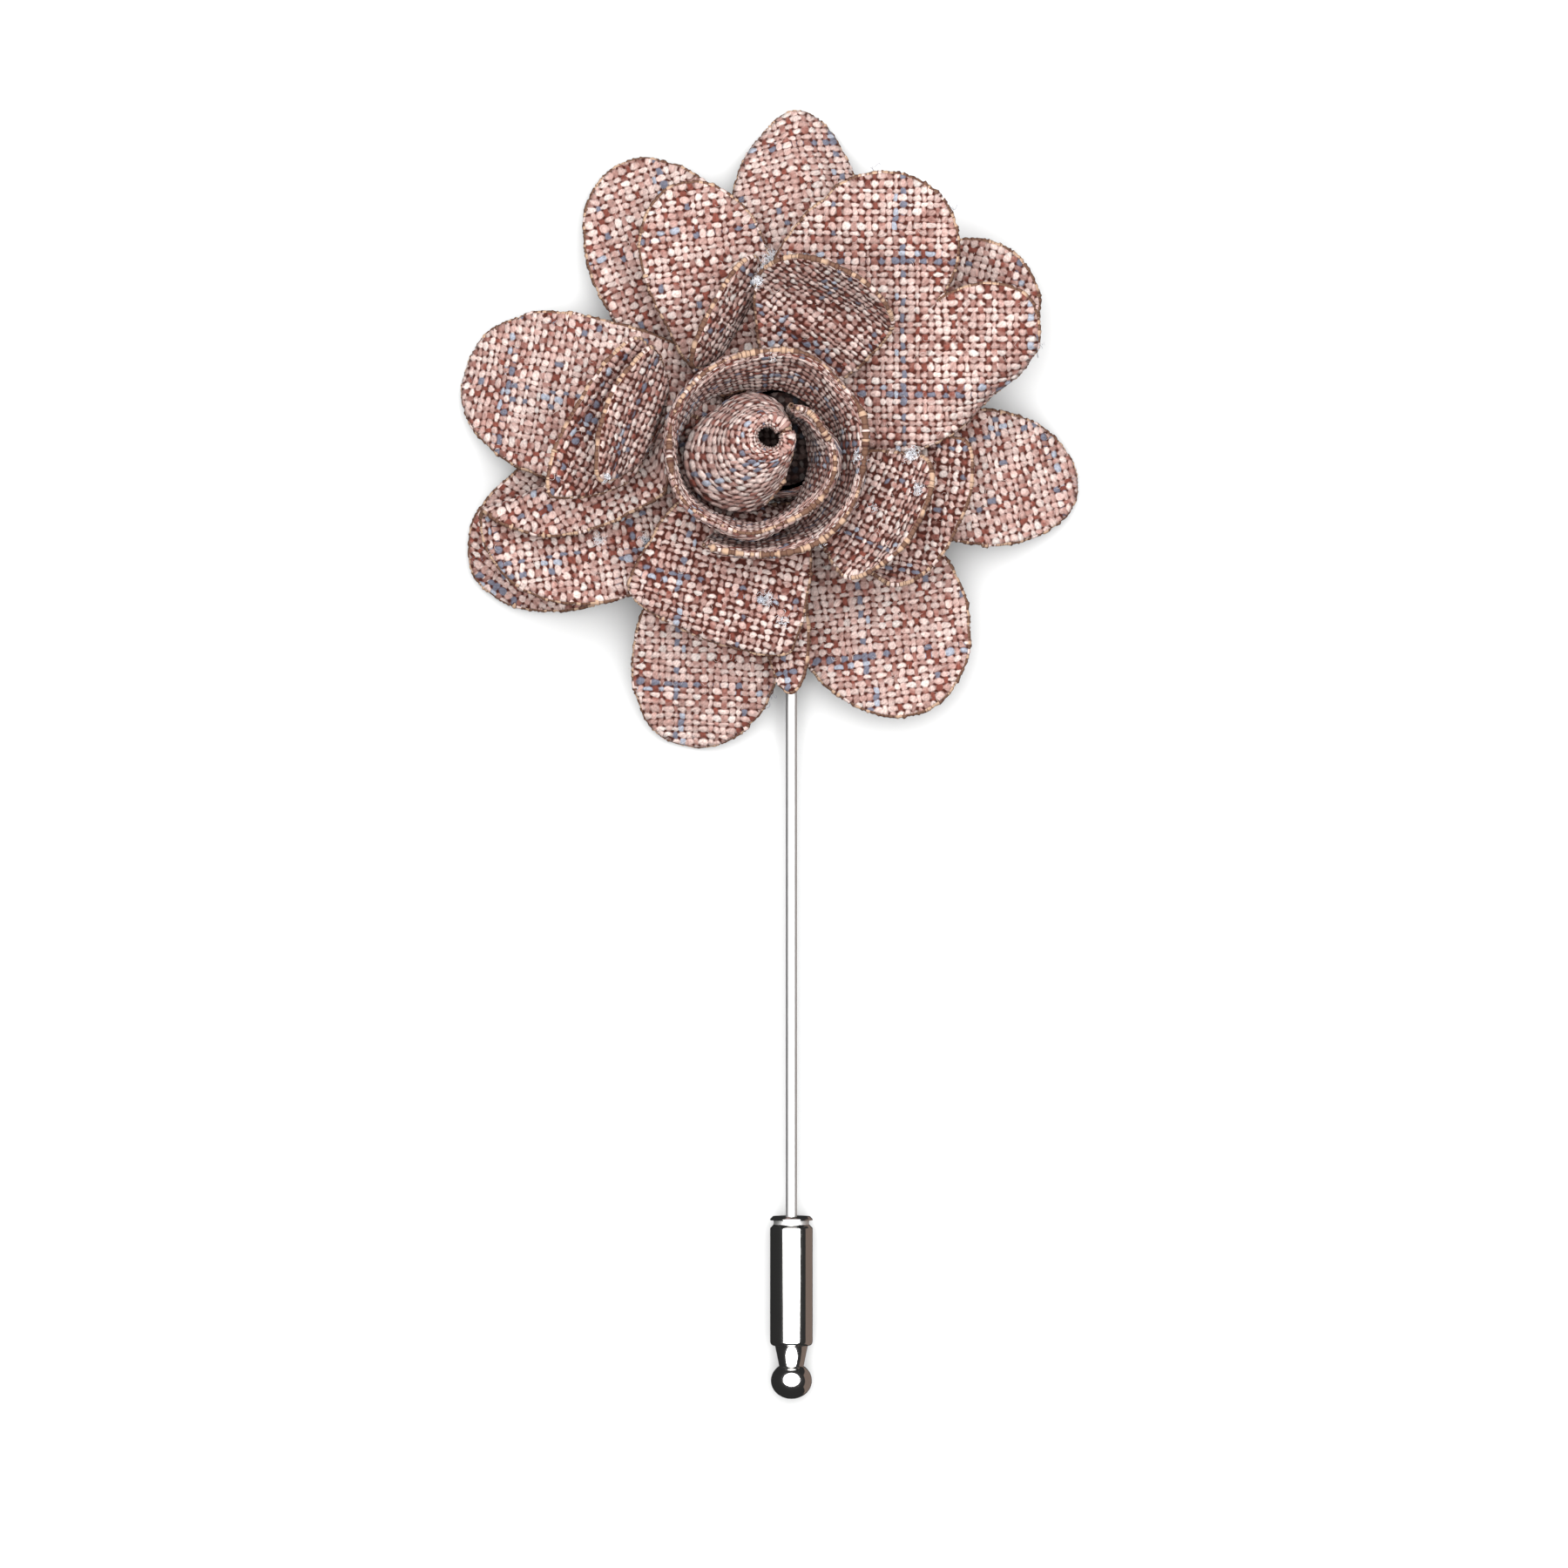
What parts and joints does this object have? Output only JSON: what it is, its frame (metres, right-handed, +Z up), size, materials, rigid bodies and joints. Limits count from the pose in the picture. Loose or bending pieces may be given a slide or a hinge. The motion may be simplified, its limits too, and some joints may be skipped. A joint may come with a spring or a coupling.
{
  "type": "flower lapel pin",
  "caption": "Lapel pin with a layered cloth flower round a coiled bud on a straight steel stick pin, its point covered by a slide-on turned clutch.",
  "frame": {"origin": "on the pin's axis where the bare shank leaves the flower", "axes": "+Y along the pin from its point to the flower, +Z up from the table to the flower's face, +X to the right seen from the front"},
  "size_m": [0.0444, 0.0926, 0.0162],
  "materials": {
    "steel_pin": "polished nickel-plated wire",
    "chrome_clutch": "polished",
    "core_cloth": "matte rolled cloth",
    "petal_cloth": "matte plain weave of rust-brown and cream yarns with a thin blue check"
  },
  "bodies": {
    "flower": {"pin": "steel_pin", "core": "core_cloth", "bud_heart": "petal_cloth", "bud_wrap": "petal_cloth", "outer_petal_top": "petal_cloth", "outer_petal_upper_left": "petal_cloth", "outer_petal_left": "petal_cloth", "outer_petal_lower_left": "petal_cloth", "outer_petal_bottom": "petal_cloth", "outer_petal_lower_right": "petal_cloth", "outer_petal_right": "petal_cloth", "outer_petal_upper_right": "petal_cloth", "middle_petal_top": "petal_cloth", "middle_petal_double": "petal_cloth", "middle_petal_right": "petal_cloth", "middle_petal_bottom": "petal_cloth", "middle_petal_rolled": "petal_cloth", "middle_petal_left": "petal_cloth", "middle_petal_narrow": "petal_cloth", "inner_petal_top": "petal_cloth", "inner_petal_standing": "petal_cloth", "inner_petal_left": "petal_cloth", "inner_petal_right": "petal_cloth"},
    "clutch": {"clutch": "chrome_clutch"}
  },
  "joints": [
    {"name": "clutch_slide", "type": "slide", "parent": "flower", "child": "clutch", "axis": [0, -1, 0], "range_m": [0, 0.02]}
  ]
}
